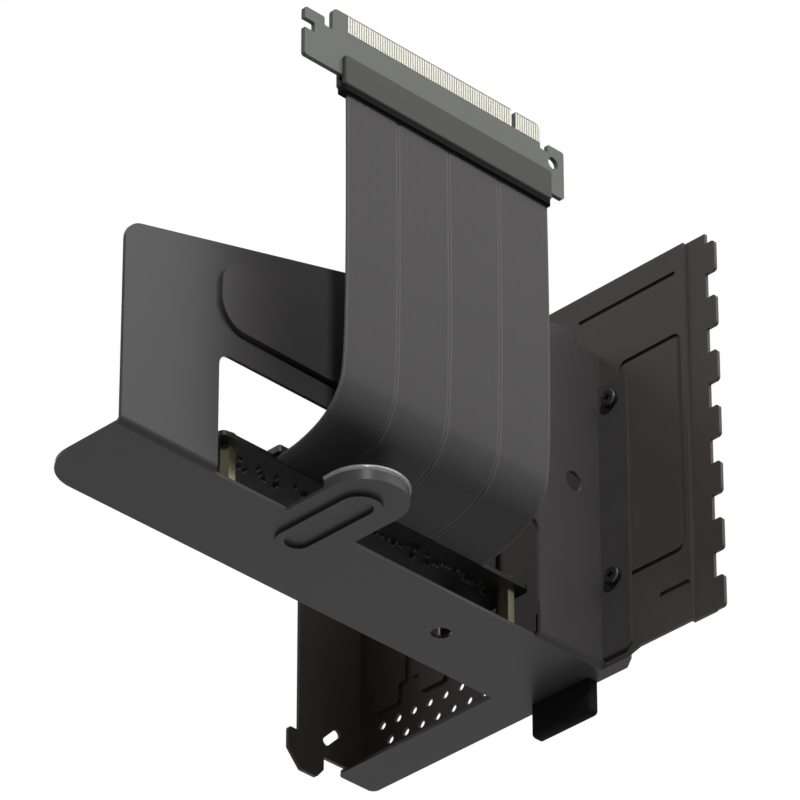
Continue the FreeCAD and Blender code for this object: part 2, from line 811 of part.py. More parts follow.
def make_slot_board():
    body = new_body("slot_board")
    half = s("board_length") / 2
    near_y = s("board_near")
    outline = box_loop(-half, half, near_y, near_y + s("board_width"), s("board_corner"))
    hole = s("screw_shank") + s("screw_clearance") * 2
    holes = []
    for end in (-1, 1):
        x = s("post_spacing") * (0.5 * end)
        holes.append((x, s("post_near"), hole))
        holes.append((x, s("post_far"), hole))
    slab(body, "slot_board_sheet", "XY", 0, s("board_thick"), [outline], holes)
    place(body, -s("post_middle"), 0, board_under())
    return body


def socket_rear():
    """How far in front of the rear plate the card socket ends."""
    return s("post_middle") - s("socket_length") / 2


def make_socket():
    body = new_body("card_socket")
    rear = -socket_rear()
    front = rear - s("socket_length")
    half = s("socket_width") / 2
    corner = s("edge_bevel")
    side = s("socket_side")
    slab(body, "socket_block", "XY", 0, s("socket_tall"), [box_loop(front, rear, side - half, side + half, corner)])
    groove = s("socket_groove") / 2
    key = -socket_rear() - s("socket_key_back")
    wall = s("socket_end_wall")
    short = box_loop(key + s("socket_key") / 2, rear - wall, side - groove, side + groove)
    long = box_loop(front + wall, key - s("socket_key") / 2, side - groove, side + groove)
    floor = s("socket_tall") - s("socket_groove_deep")
    slab(body, "socket_groove", "XY", floor, s("socket_tall") + SHEET, [short, long], cut=True)
    place(body, 0, 0, board_over())
    return body


def value(alias):
    return s(alias).value


def row_starts(rear, key_back, key, pitch):
    """Places along X, from the rear end, of contacts in a row that steps over its key."""
    places = []
    for number in range(CONTACTS):
        x = rear - key_back + key / 2 + pitch * (SHORT_CONTACTS - number - 0.5)
        if number >= SHORT_CONTACTS:
            x -= key
        places.append(x)
    return places


def add_solids(name, solids):
    """A node made straight from solids, for contacts too many and too plain for sketches."""
    thing = doc.addObject("Part::Feature", name)
    thing.Label = name
    thing.Shape = Part.makeCompound(solids) if len(solids) > 1 else solids[0]
    return thing


def make_contacts():
    width = value("contact_width")
    thick = value("contact_thick")
    tall = value("contact_tall")
    groove = value("socket_groove")
    floor = value("socket_tall") - value("socket_groove_deep")
    rear = -socket_rear().value
    solids = []
    for x in row_starts(rear, value("socket_key_back"), value("socket_key"), value("contact_pitch")):
        for y in (-groove / 2, groove / 2 - thick):
            corner = vector(x - width / 2, value("socket_side") + y, floor)
            solids.append(Part.makeBox(width, thick, tall, corner))
    thing = add_solids("socket_contacts", solids)
    place(thing, 0, 0, board_over())
    return thing


def make_strain_relief():
    body = new_body("ribbon_clamp")
    half = (s("ribbon_pitch") * 3 + s("ribbon_width")) / 2 + SHEET
    middle = -s("ribbon_middle")
    near_y = s("board_near")
    loop = box_loop(middle - half, middle + half, near_y - s("relief_reach"), near_y + s("relief_cover"), SHEET)
    slab(body, "clamp_bar", "XY", 0, s("relief_tall"), [loop])
    fillet(body, "clamp_round", SHEET * 0.7, lambda mid, ends: near(mid.z, s("relief_tall")))
    place(body, 0, 0, board_over())
    return body


# ribbons

def route_edges(points, shift):
    """Lines and tangent arcs beside the route, shift to its left, and the arcs' radii."""
    points = [vector(0, y, z) for y, z in points]
    edges = []
    radii = []
    start = points[0]
    entry = (points[1] - points[0]).normalize()
    start = start + side_of(entry) * shift
    for i in range(1, len(points) - 1):
        entry = (points[i] - points[i - 1]).normalize()
        leave = (points[i + 1] - points[i]).normalize()
        half = entry.getAngle(leave) / 2
        shorter = min((points[i] - points[i - 1]).Length, (points[i + 1] - points[i]).Length)
        cut = 0.45 * shorter
        radius = cut / math.tan(half)
        radii.append(radius)
        first = points[i] - entry * cut + side_of(entry) * shift
        last = points[i] + leave * cut + side_of(leave) * shift
        bisector = (leave - entry).normalize()
        centre = points[i] + bisector * (radius / math.cos(half))
        reach = (first - centre).Length
        edges.append(Part.LineSegment(start, first).toShape())
        edges.append(Part.Arc(first, centre - bisector * reach, last).toShape())
        start = last
    leave = (points[-1] - points[-2]).normalize()
    edges.append(Part.LineSegment(start, points[-1] + side_of(leave) * shift).toShape())
    return edges, radii


def side_of(direction):
    return vector(0, -direction.z, direction.y)


def make_ribbon(number):
    half = value("ribbon_thick") / 2
    width = value("ribbon_width")
    left, radii = route_edges(ROUTE, half)
    right, _ = route_edges(ROUTE, -half)
    ends = []
    for a, b in ((left[0].Vertexes[0], right[0].Vertexes[0]), (left[-1].Vertexes[-1], right[-1].Vertexes[-1])):
        ends.append(Part.LineSegment(a.Point, b.Point).toShape())
    wire = Part.Wire(Part.__sortEdges__(left + right + ends))
    solid = Part.Face(wire).extrude(vector(width, 0, 0))
    middle_line, _ = route_edges(ROUTE, 0.0)
    length = sum(edge.Length for edge in middle_line)
    print(f"ribbon {number + 1}: length {length:.1f} mm, radii {[round(radius, 1) for radius in radii]}")
    print(f"  volume {solid.Volume:.1f}, section times length {width * half * 2 * length:.1f}")
    thing = add_solids(f"ribbon_{number + 1}", [solid])
    start = -s("ribbon_middle") - s("ribbon_pitch") * 1.5 - s("ribbon_width") / 2
    place(thing, start + s("ribbon_pitch") * number, 0, 0)
    return thing


# plug

def make_plug_board():
    body = new_body("plug_board")
    front = -s("plug_front")
    rear = -s("plug_rear")
    bottom = s("plug_bottom")
    ear = s("plug_ear_top")
    corner = s("board_corner") * 0.5
    floor = s("edge_relief_floor")
    relief = s("edge_relief")
    key = -(s("edge_rear") + s("edge_key_back"))
    half = s("edge_key") / 2
    notch = s("ear_hole_rise")
    slot = s("ear_notch_tall") / 2
    deep = front + s("ear_notch_deep")
    left = -s("edge_front")
    right = -s("edge_rear")
    top = s("edge_top")
    bevel = s("edge_bevel")
    end_corner = s("edge_corner")
    outline = [(front, bottom, corner), (rear, bottom, corner), (rear, ear, corner), (right + relief, ear, bevel),
               (right + relief, floor, bevel), (right, floor, bevel), (right, top, end_corner), (key + half, top, bevel),
               (key + half, s("edge_key_floor")), (key - half, s("edge_key_floor")), (key - half, top, bevel),
               (left, top, end_corner), (left, floor, bevel), (left - relief, floor, bevel), (left - relief, ear, bevel),
               (front, ear, corner), (front, notch + slot), (deep, notch + slot, bevel), (deep, notch - slot, bevel),
               (front, notch - slot)]
    holes = [(-s("ear_hole_back"), s("ear_hole_rise"), s("ear_hole_width"))]
    half_thick = s("board_thick") / 2
    slab(body, "plug_board_sheet", "XZ", -half_thick, half_thick, [outline], holes)
    place(body, 0, -s("plug_side"), 0)
    return body


def make_shell(name, side):
    body = new_body(name)
    left = -s("shell_front")
    low = s("plug_bottom") - s("shell_drop")
    loop = box_loop(left, left + s("shell_length"), low, low + s("shell_rise"), s("shell_round"))
    inner = s("board_thick") / 2
    outer = inner + s("shell_thick")
    span = (inner, outer) if side > 0 else (-outer, -inner)
    slab(body, f"{name}_block", "XZ", span[0], span[1], [loop])
    fillet(body, f"{name}_round", s("shell_round") * 0.6, lambda mid, ends: near(abs(mid.y), outer))
    place(body, 0, -s("plug_side"), 0)
    return body


def make_seal():
    body = new_body("plug_seal")
    left = -s("shell_front")
    right = left + s("shell_length")
    top = s("plug_bottom") - s("shell_drop")
    half = s("seal_thick") / 2
    gap = s("seal_gap")
    passage = s("ribbon_thick") / 2 + gap
    ribbons = (s("ribbon_pitch") * 3 + s("ribbon_width")) / 2 + gap
    middle = -s("ribbon_middle")
    outer = box_loop(left, right, -half, half, SHEET)
    inner = box_loop(middle - ribbons, middle + ribbons, -passage, passage)
    slab(body, "seal_ring", "XY", top - s("seal_tall"), top, [outer, inner])
    place(body, 0, -s("plug_side"), 0)
    return body


def make_fingers():
    width = value("finger_width")
    thick = value("finger_thick")
    tall = value("finger_tall")
    top = value("edge_top") - value("finger_setback")
    half = value("board_thick") / 2
    solids = []
    for x in row_starts(-value("edge_rear"), value("edge_key_back"), value("edge_key"), value("finger_pitch")):
        for y in (-half - thick, half):
            solids.append(Part.makeBox(width, thick, tall, vector(x - width / 2, y, top - tall)))
    thing = add_solids("plug_fingers", solids)
    place(thing, 0, -s("plug_side"), 0)
    return thing


nodes = [make_main_bracket(), make_rear_plate(), make_rest_pad()]
nodes += [make_cover(number) for number in range(SLOTS)]
nodes += [make_cover_screws(), make_tab_screws(), make_posts(), make_board_screws()]
nodes += [make_slot_board(), make_socket(), make_contacts(), make_strain_relief()]
nodes += [make_ribbon(number) for number in range(4)]
nodes += [make_plug_board(), make_fingers(), make_seal()]
nodes += [make_shell("plug_shell_front", -1), make_shell("plug_shell_back", 1)]

doc.recompute()
for thing in doc.Objects:
    bad = [state for state in thing.State if state in ("Invalid", "Error")]
    if bad:
        raise RuntimeError(f"{thing.Name} is {bad}")
for node in nodes:
    if node.Shape.isNull() or not node.Shape.isValid():
        raise RuntimeError(f"{node.Label} has no valid shape")
os.makedirs("parts", exist_ok=True)
for node in nodes:
    node.Shape.exportStep(f"parts/{node.Label}.step")
    box = node.Shape.BoundBox
    print(f"{node.Label}: {len(node.Shape.Solids)} solids, {node.Shape.Volume:.0f} mm3,",
          f"x {box.XMin:.1f} {box.XMax:.1f} y {box.YMin:.1f} {box.YMax:.1f} z {box.ZMin:.1f} {box.ZMax:.1f}")
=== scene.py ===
import math
import random

import bmesh
import bpy
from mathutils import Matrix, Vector


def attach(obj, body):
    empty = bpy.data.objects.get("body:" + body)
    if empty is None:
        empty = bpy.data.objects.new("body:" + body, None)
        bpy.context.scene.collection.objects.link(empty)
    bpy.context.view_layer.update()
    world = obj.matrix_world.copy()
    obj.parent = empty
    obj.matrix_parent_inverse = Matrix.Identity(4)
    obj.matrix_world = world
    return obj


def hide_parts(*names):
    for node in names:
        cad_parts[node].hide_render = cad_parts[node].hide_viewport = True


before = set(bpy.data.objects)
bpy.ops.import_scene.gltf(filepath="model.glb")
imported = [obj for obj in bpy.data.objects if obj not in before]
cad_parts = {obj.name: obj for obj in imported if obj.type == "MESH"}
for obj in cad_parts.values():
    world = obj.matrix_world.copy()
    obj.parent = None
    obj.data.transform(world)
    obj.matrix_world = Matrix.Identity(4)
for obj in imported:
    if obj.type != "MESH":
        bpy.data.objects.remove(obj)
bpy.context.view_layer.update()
MM = 0.001
SHEET = 1.2
LOWEST_PRONG = 8.2


def row_point(x, y, z):
    """A point measured from the drawing corner in millimetres, in the row frame in metres."""
    return Vector((x - SHEET, y, z - LOWEST_PRONG)) * MM


# camera

CAMERA_PLACE = (-1318.60, -1240.87, -1051.03)
CAMERA_AZIMUTH = math.radians(-44.743)
CAMERA_ELEVATION = math.radians(-32.404)


def make_camera():
    """The photograph's view: from below, from the front of the case and the main board side."""
    level = math.cos(CAMERA_ELEVATION)
    back = Vector((math.sin(CAMERA_AZIMUTH) * level, -math.cos(CAMERA_AZIMUTH) * level,
                   math.sin(CAMERA_ELEVATION)))
    data = bpy.data.cameras.new("camera")
    data.sensor_width = 36.0
    data.lens = 306.5
    data.clip_start = 0.1
    data.clip_end = 40.0
    camera = bpy.data.objects.new("camera", data)
    camera.location = row_point(*CAMERA_PLACE)
    camera.rotation_mode = "QUATERNION"
    camera.rotation_quaternion = (-back).to_track_quat("-Z", "Y")
    bpy.context.collection.objects.link(camera)
    bpy.context.scene.camera = camera


make_camera()


# ribbons

RIBBON_PITCH = 21.75
RIBBON_MIDDLE = -96.7
RIBBON_GAP = 0.08
MARGIN_WIDTH = 1.0
PADDED_HALF = 0.54
MARGIN_HALF = 0.38
CORES = 16
CORE_RISE = 0.06
CORE_MARGIN = 0.5

# The route of a ribbon, side and height of each point: out of the slot board, round under the
# window plate and straight up to the plug.
ROUTE = [(0.6, 15.0), (-8.5, 15.0), (-24.5, 22.5), (-29.8, 40.0), (-28.6, 137.4)]


def new_piece(name, mesh, replaced=()):
    """A visible piece that rides on the part and the nodes it replaces."""
    piece = bpy.data.objects.new(name, mesh)
    bpy.context.collection.objects.link(piece)
    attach(piece, "root")
    if replaced:
        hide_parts(*replaced)
    return piece


def mesh_of(curve_object):
    """The mesh that a curve gives once its bevel is worked out."""
    bpy.context.view_layer.update()
    graph = bpy.context.evaluated_depsgraph_get()
    return bpy.data.meshes.new_from_object(curve_object.evaluated_get(graph))


def route_curve(name, x):
    """A smooth curve along the route, at one place along X."""
    data = bpy.data.curves.new(name, "CURVE")
    data.dimensions = "3D"
    data.resolution_u = 16
    data.twist_mode = "MINIMUM"
    spline = data.splines.new("NURBS")
    spline.points.add(len(ROUTE) - 1)
    for point, (y, z) in zip(spline.points, ROUTE):
        point.co = (*row_point(x, y, z), 1.0)
    spline.order_u = 3
    spline.use_endpoint_u = True
    curve = bpy.data.objects.new(name, data)
    bpy.context.collection.objects.link(curve)
    return curve


def jacket_outline():
    """The cross section of a ribbon: a padded middle between two thin welded margins."""
    half = RIBBON_PITCH / 2 - RIBBON_GAP / 2
    padded = half - MARGIN_WIDTH
    side = [(-half, 0.0), (-half + 0.12, MARGIN_HALF), (-padded - 0.25, MARGIN_HALF),
            (-padded + 0.15, PADDED_HALF)]
    start = -padded + CORE_MARGIN
    width = (2 * padded - CORE_MARGIN * 2) / CORES
    for core in range(CORES):
        side.append((start + width * (core + 0.15), PADDED_HALF))
        side.append((start + width * (core + 0.5), PADDED_HALF + CORE_RISE))
        side.append((start + width * (core + 0.85), PADDED_HALF))
    side += [(-x, z) for x, z in reversed(side[1:4])]
    under = [(-x, -z) for x, z in side]
    return side + under


def make_ribbon(number):
    x = RIBBON_MIDDLE + RIBBON_PITCH * (number - 1.5)
    curve = route_curve(f"ribbon_route_{number + 1}", x)
    path = [vertex.co.copy() for vertex in mesh_of(curve).vertices]
    outline = bpy.data.curves.new("jacket_outline", "CURVE")
    outline.dimensions = "2D"
    spline = outline.splines.new("POLY")
    corners = jacket_outline()
    spline.points.add(len(corners) - 1)
    for point, (across, out) in zip(spline.points, corners):
        point.co = (across * MM, out * MM, 0.0, 1.0)
    spline.use_cyclic_u = True
    profile = bpy.data.objects.new("jacket_outline", outline)
    bpy.context.collection.objects.link(profile)
    curve.data.bevel_mode = "OBJECT"
    curve.data.bevel_object = profile
    curve.data.use_fill_caps = True
    mesh = mesh_of(curve)
    bpy.data.objects.remove(curve)
    bpy.data.objects.remove(profile)
    work = bmesh.new()
    work.from_mesh(mesh)
    bmesh.ops.remove_doubles(work, verts=work.verts, dist=1e-6)
    bmesh.ops.recalc_face_normals(work, faces=work.faces)
    work.to_mesh(mesh)
    work.free()
    for polygon in mesh.polygons:
        polygon.use_smooth = False
    ribbon = new_piece(f"jacket_{number + 1}", mesh, [f"ribbon_{number + 1}"])
    return ribbon


ribbons = [make_ribbon(number) for number in range(4)]


# parts on the slot board

BOARD_UNDER = 14.2
BOARD_OVER = 15.8
SOCKET_SIDE = 27.6
SOCKET_FRONT = -141.4
CONTACTS = 82
SHORT_CONTACTS = 11
FIRST_CONTACT = -55.65
KEY_STEP = 1.7
PIN_TALL = 0.9
PIN_SUNK = 0.05
PIN_SIDES = (1.2, 2.6)
UNDER_COUNT, UNDER_START, UNDER_PITCH = 46, -155.0, 2.52
UNDER_SIDES = (8.0, 9.6, 11.4)
THIN_FROM, THIN_TO = -136.0, -105.0
OVER_COUNT, OVER_START, OVER_PITCH = 30, -150.0, 3.7
OVER_SIDE = 19.5
CHIP_TALL = 1.8
CHIP_END_TALL = 1.9
CHIP_END_HALF = 0.16


def add_box(work, low, high):
    """Adds a box between two corners, measured from the drawing corner in millimetres."""
    made = bmesh.ops.create_cube(work, size=1.0)["verts"]
    low, high = row_point(*low), row_point(*high)
    bmesh.ops.scale(work, verts=made, vec=high - low)
    bmesh.ops.translate(work, verts=made, vec=(low + high) / 2)
    return made


def round_edges(work, radius):
    """Rounds every edge of the mesh, with the radius in millimetres."""
    bmesh.ops.bevel(work, geom=list(work.edges), offset=radius * MM, segments=2, profile=0.5, affect="EDGES",
                    material=-1)


def close_piece(name, work):
    """Turns a finished working mesh into a piece."""
    mesh = bpy.data.meshes.new(name)
    work.to_mesh(mesh)
    work.free()
    return new_piece(name, mesh)


def contact_places():
    """Places along X of the contacts in a row, which steps over its key."""
    places = []
    for number in range(CONTACTS):
        step = number if number < SHORT_CONTACTS else number + KEY_STEP
        places.append(FIRST_CONTACT - step)
    return places


def make_solder_pins():
    """The ends of the socket's contacts, soldered under the board."""
    work = bmesh.new()
    for number, x in enumerate(contact_places()):
        for side in (-1.0, 1.0):
            stagger = PIN_SIDES[0] if number % 2 else PIN_SIDES[1]
            centre = row_point(x, SOCKET_SIDE + side * stagger, BOARD_UNDER)
            made = bmesh.ops.create_cone(work, cap_ends=True, segments=8, radius1=0.22 * MM,
                                         radius2=0.48 * MM, depth=PIN_TALL * MM)["verts"]
            drop = Vector((0, 0, (PIN_SUNK - PIN_TALL / 2) * MM))
            bmesh.ops.translate(work, verts=made, vec=centre + drop)
    return close_piece("solder_pins", work)


def chip_rows():
    """Places, lengths and turns of the small parts: x, y, length, whether it lies along X."""
    chance = random.Random(7)
    under = []
    for index in range(UNDER_COUNT):
        x = UNDER_START + index * UNDER_PITCH
        if THIN_FROM < x < THIN_TO and chance.random() < 0.5:
            continue
        under.append((x + chance.uniform(-0.4, 0.4), chance.choice(UNDER_SIDES),
                      chance.choice((1.0, 1.6)), chance.random() < 0.5))
    over = []
    for index in range(OVER_COUNT):
        x = OVER_START + index * OVER_PITCH
        over.append((x, OVER_SIDE + chance.uniform(-0.3, 0.3), chance.choice((1.0, 1.6, 2.0)),
                     chance.random() < 0.3))
    return under, over


def make_chips():
    """Small two-ended parts: their bodies in one piece, their soldered ends in another."""
    bodies = bmesh.new()
    ends = bmesh.new()
    under, over = chip_rows()
    for rows, face, up in ((under, BOARD_UNDER, -1.0), (over, BOARD_OVER, 1.0)):
        for x, y, length, along in rows:
            half, side = length / 2, length / 4
            heights = sorted((face, face + up * side * CHIP_TALL))
            reach = (half, side) if along else (side, half)
            add_box(bodies, (x - reach[0], y - reach[1], heights[0]),
                    (x + reach[0], y + reach[1], heights[1]))
            for end in (-1, 1):
                centre = (x + end * half, y) if along else (x, y + end * half)
                wide = (CHIP_END_HALF, side + 0.05) if along else (side + 0.05, CHIP_END_HALF)
                tall = sorted((face, face + up * side * CHIP_END_TALL))
                add_box(ends, (centre[0] - wide[0], centre[1] - wide[1], tall[0]),
                        (centre[0] + wide[0], centre[1] + wide[1], tall[1]))
    return (close_piece("chip_bodies", bodies),
            close_piece("chip_ends", ends))


def make_latch():
    """The lever at the socket's front end that holds a card down."""
    work = bmesh.new()
    front = SOCKET_FRONT - 7.6
    rear = SOCKET_FRONT - 0.1
    left, right = SOCKET_SIDE - 3.9, SOCKET_SIDE + 3.9
    cheek = 1.3
    cheek_top = BOARD_OVER + 8.0
    lever_top = BOARD_OVER + 10.5
    add_box(work, (front, left, BOARD_OVER), (rear, left + cheek, cheek_top))
    add_box(work, (front, right - cheek, BOARD_OVER), (rear, right, cheek_top))
    add_box(work, (front + 0.6, left + 1.4, BOARD_OVER), (rear - 1.1, right - 1.4, lever_top))
    add_box(work, (front - 3.0, left + 0.6, cheek_top + 0.6), (front + 2.6, right - 0.6, lever_top))
    round_edges(work, 0.25)
    return close_piece("socket_latch", work)


HEM_MIDDLE = -120.5
HEM_REACH = 12.9
HEM_START = -13.8
HEM_TURN = -17.3
HEM_RISE = 4.2
HEM_THICK = 1.0
HEM_STEPS = 24


def make_lip_hem():
    """The rolled edge along the top of the cable tongue's lip: out, round the tip and back."""
    right, left = HEM_MIDDLE + HEM_REACH, HEM_MIDDLE - HEM_REACH
    corners = [(right, HEM_START), (right, HEM_TURN)]
    for step in range(1, HEM_STEPS):
        angle = math.pi * step / HEM_STEPS
        corners.append((HEM_MIDDLE + HEM_REACH * math.cos(angle), HEM_TURN - HEM_REACH * math.sin(angle)))
    corners += [(left, HEM_TURN), (left, HEM_START)]
    data = bpy.data.curves.new("lip_hem", "CURVE")
    data.dimensions = "3D"
    spline = data.splines.new("POLY")
    spline.points.add(len(corners) - 1)
    for point, (x, y) in zip(spline.points, corners):
        point.co = (*row_point(x, y, HEM_RISE), 1.0)
    data.bevel_depth = HEM_THICK * MM
    data.bevel_resolution = 4
    data.use_fill_caps = True
    curve = bpy.data.objects.new("lip_hem_line", data)
    bpy.context.collection.objects.link(curve)
    mesh = mesh_of(curve)
    bpy.data.objects.remove(curve)
    for polygon in mesh.polygons:
        polygon.use_smooth = True
    return new_piece("lip_hem", mesh)


lip_hem = make_lip_hem()
solder_pins = make_solder_pins()
chip_bodies, chip_ends = make_chips()
socket_latch = make_latch()


# materials

def new_material(name, color, roughness, metallic=0.0, specular=0.5):
    """A principled material, its nodes, and the shader to plug into."""
    material = bpy.data.materials.new(name)
    material.use_nodes = True
    shader = material.node_tree.nodes["Principled BSDF"]
    shader.inputs["Base Color"].default_value = (*color, 1.0)
    shader.inputs["Roughness"].default_value = roughness
    shader.inputs["Metallic"].default_value = metallic
    shader.inputs["Specular IOR Level"].default_value = specular
    return material, shader


def new_group(name, inputs, outputs):
    """A node group with its sockets made, and its entry and exit nodes."""
    group = bpy.data.node_groups.new(name, "ShaderNodeTree")
    for label, kind, value in inputs:
        socket = group.interface.new_socket(label, in_out="INPUT", socket_type=kind)
        if value is not None:
            socket.default_value = value
    for label, kind in outputs:
        group.interface.new_socket(label, in_out="OUTPUT", socket_type=kind)
    entry = group.nodes.new("NodeGroupInput")
    leave = group.nodes.new("NodeGroupOutput")
    return group, entry, leave


def add_node(tree, kind, settings=None, values=None):
    """A node with its settings and the values of its inputs."""
    node = tree.nodes.new(kind)
    for key, value in (settings or {}).items():
        setattr(node, key, value)
    for key, value in (values or {}).items():
        node.inputs[key].default_value = value
    return node


CLOUD_SCALE = 28.0
ROUGHNESS_DRIFT = 0.35
GRAIN_DEPTH = 0.0001
MASK_FROM, MASK_TO = 0.452, 0.462


def surface_group():
    """Fine coat texture: a colour that drifts, a roughness that drifts and a grainy normal."""
    group, entry, leave = new_group(
        "coat surface",
        [("Position", "NodeSocketVector", None), ("Color", "NodeSocketColor", (0.1, 0.1, 0.1, 1.0)),
         ("Roughness", "NodeSocketFloat", 0.5), ("Grain size", "NodeSocketFloat", 0.4),
         ("Grain height", "NodeSocketFloat", 0.3), ("Drift", "NodeSocketFloat", 0.2)],
        [("Color", "NodeSocketColor"), ("Roughness", "NodeSocketFloat"), ("Normal", "NodeSocketVector")])
    link = group.links.new
    size = add_node(group, "ShaderNodeMath", {"operation": "DIVIDE"}, {0: 1000.0})
    link(entry.outputs["Grain size"], size.inputs[1])
    grain = add_node(group, "ShaderNodeTexNoise", {}, {"Detail": 2.0, "Roughness": 0.6})
    link(entry.outputs["Position"], grain.inputs["Vector"])
    link(size.outputs[0], grain.inputs["Scale"])
    cloud = add_node(group, "ShaderNodeTexNoise", {}, {"Scale": CLOUD_SCALE, "Detail": 4.0})
    link(entry.outputs["Position"], cloud.inputs["Vector"])
    shift = add_node(group, "ShaderNodeMath", {"operation": "MULTIPLY_ADD"}, {1: 2.0, 2: -1.0})
    link(cloud.outputs["Fac"], shift.inputs[0])
    amount = add_node(group, "ShaderNodeMath", {"operation": "MULTIPLY"})
    link(shift.outputs[0], amount.inputs[0])
    link(entry.outputs["Drift"], amount.inputs[1])
    bright = add_node(group, "ShaderNodeMath", {"operation": "ADD"}, {1: 1.0})
    link(amount.outputs[0], bright.inputs[0])
    tint = add_node(group, "ShaderNodeVectorMath", {"operation": "SCALE"})
    link(entry.outputs["Color"], tint.inputs[0])
    link(bright.outputs[0], tint.inputs["Scale"])
    link(tint.outputs["Vector"], leave.inputs["Color"])
    rough = add_node(group, "ShaderNodeMath", {"operation": "MULTIPLY_ADD", "use_clamp": True})
    link(amount.outputs[0], rough.inputs[0])
    rough.inputs[1].default_value = ROUGHNESS_DRIFT
    link(entry.outputs["Roughness"], rough.inputs[2])
    link(rough.outputs[0], leave.inputs["Roughness"])
    bump = add_node(group, "ShaderNodeBump", {}, {"Distance": GRAIN_DEPTH})
    link(grain.outputs["Fac"], bump.inputs["Height"])
    link(entry.outputs["Grain height"], bump.inputs["Strength"])
    link(bump.outputs["Normal"], leave.inputs["Normal"])
    return group


def margin_group():
    """How far a point lies in a ribbon's thin margin: 0 in the padded middle, 1 at the edge."""
    group, entry, leave = new_group(
        "margin mask", [("Position", "NodeSocketVector", None)], [("Mask", "NodeSocketFloat")])
    link = group.links.new
    parts = add_node(group, "ShaderNodeSeparateXYZ")
    link(entry.outputs["Position"], parts.inputs[0])
    start = row_point(RIBBON_MIDDLE - RIBBON_PITCH * 2, 0, 0).x
    count = add_node(group, "ShaderNodeMath", {"operation": "MULTIPLY_ADD"},
                     {1: 1 / (RIBBON_PITCH * MM), 2: -start / (RIBBON_PITCH * MM)})
    link(parts.outputs["X"], count.inputs[0])
    share = add_node(group, "ShaderNodeMath", {"operation": "FRACT"})
    link(count.outputs[0], share.inputs[0])
    middle = add_node(group, "ShaderNodeMath", {"operation": "SUBTRACT"}, {1: 0.5})
    link(share.outputs[0], middle.inputs[0])
    off = add_node(group, "ShaderNodeMath", {"operation": "ABSOLUTE"})
    link(middle.outputs[0], off.inputs[0])
    mask = add_node(group, "ShaderNodeMapRange", {}, {1: MASK_FROM, 2: MASK_TO, 3: 0.0, 4: 1.0})
    link(off.outputs[0], mask.inputs[0])
    link(mask.outputs[0], leave.inputs["Mask"])
    return group


COAT = surface_group()
MARGIN = margin_group()


def coated(name, color, roughness, grain_size, grain_height, drift, metallic=0.0, specular=0.5):
    """A material whose colour, roughness and normal come from the coat surface group."""
    material, shader = new_material(name, color, roughness, metallic, specular)
    tree = material.node_tree
    position = add_node(tree, "ShaderNodeTexCoord")
    coat = add_node(tree, "ShaderNodeGroup", {"node_tree": COAT}, {
        "Color": (*color, 1.0), "Roughness": roughness, "Grain size": grain_size,
        "Grain height": grain_height, "Drift": drift})
    tree.links.new(position.outputs["Object"], coat.inputs["Position"])
    tree.links.new(coat.outputs["Color"], shader.inputs["Base Color"])
    tree.links.new(coat.outputs["Roughness"], shader.inputs["Roughness"])
    tree.links.new(coat.outputs["Normal"], shader.inputs["Normal"])
    return material


bracket_coat = coated("bracket coat", (0.074, 0.070, 0.071), 0.36, 0.35, 0.30, 0.10, specular=0.16)
# The hem's light grey base colour is a painted highlight along the lip's top edge, far lighter than the
# bracket's own dark coat.
hem_painted_highlight = coated("hem painted highlight", (0.260, 0.255, 0.255), 0.24, 0.35, 0.10, 0.10, specular=1.0)
plate_coat = coated("rear plate coat", (0.091, 0.080, 0.076), 0.38, 0.35, 0.30, 0.10, specular=0.15)
rubber = coated("pad rubber", (0.004, 0.004, 0.004), 0.80, 0.6, 0.5, 0.2, specular=0.1)
black_steel = coated("blackened steel", (0.05, 0.05, 0.052), 0.35, 0.5, 0.2, 0.15, metallic=0.8)
post_brass = coated("post brass", (0.22, 0.20, 0.135), 0.24, 0.6, 0.15, 0.15, metallic=1.0)
board_mask = coated("board mask", (0.006, 0.007, 0.006), 0.45, 0.8, 0.1, 0.2, specular=0.2)
socket_plastic = coated("socket plastic", (0.012, 0.012, 0.012), 0.5, 0.3, 0.3, 0.1)
gold = coated("contact gold", (0.74, 0.72, 0.63), 0.45, 0.5, 0.1, 0.1, metallic=0.2)
plug_mask = coated("plug board mask", (0.138, 0.144, 0.130), 0.55, 0.6, 0.1, 0.10, specular=0.3)
shell_plastic = coated("plug shell plastic", (0.063, 0.063, 0.061), 0.55, 0.3, 0.4, 0.10, specular=0.2)
jacket = coated("ribbon jacket", (0.124, 0.120, 0.120), 0.62, 0.25, 0.5, 0.05, specular=0.04)
chip_body = coated("chip body", (0.030, 0.020, 0.018), 0.5, 0.4, 0.2, 0.3)
solder = coated("solder", (0.30, 0.30, 0.31), 0.35, 0.4, 0.2, 0.2, metallic=0.9)


def lighten_margins(material, color):
    """Gives the thin margins beside each ribbon's padded middle their own colour."""
    tree = material.node_tree
    shader = tree.nodes["Principled BSDF"]
    position = add_node(tree, "ShaderNodeTexCoord")
    mask = add_node(tree, "ShaderNodeGroup", {"node_tree": MARGIN})
    tree.links.new(position.outputs["Object"], mask.inputs["Position"])
    mix = add_node(tree, "ShaderNodeMix", {"data_type": "RGBA"}, {7: (*color, 1.0)})
    tree.links.new(mask.outputs["Mask"], mix.inputs[0])
    tree.links.new(shader.inputs["Base Color"].links[0].from_socket, mix.inputs[6])
    tree.links.new(mix.outputs[2], shader.inputs["Base Color"])


lighten_margins(jacket, (0.160, 0.157, 0.155))

